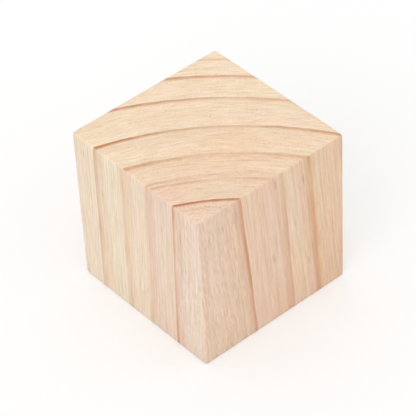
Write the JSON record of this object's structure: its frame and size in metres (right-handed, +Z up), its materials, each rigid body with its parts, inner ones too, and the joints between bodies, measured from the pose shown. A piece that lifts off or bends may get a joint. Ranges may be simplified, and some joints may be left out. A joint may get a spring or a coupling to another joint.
{
  "type": "wooden cube",
  "caption": "Solid sanded softwood cube with lightly eased edges and corners, for stacking, spacing, propping or craft work.",
  "frame": {"origin": "middle of the underside, on the surface the cube rests on", "axes": "+Z up, along the grain, so the top and the base are end grain; +X and +Y square to the upright faces; the growth rings curve round a line that stands outside the block beyond its +X and -Y faces"},
  "size_m": [0.05, 0.05, 0.05],
  "materials": {
    "pine": "sanded smooth, unfinished"
  },
  "bodies": {
    "root": {"cube": "pine"}
  },
  "joints": []
}
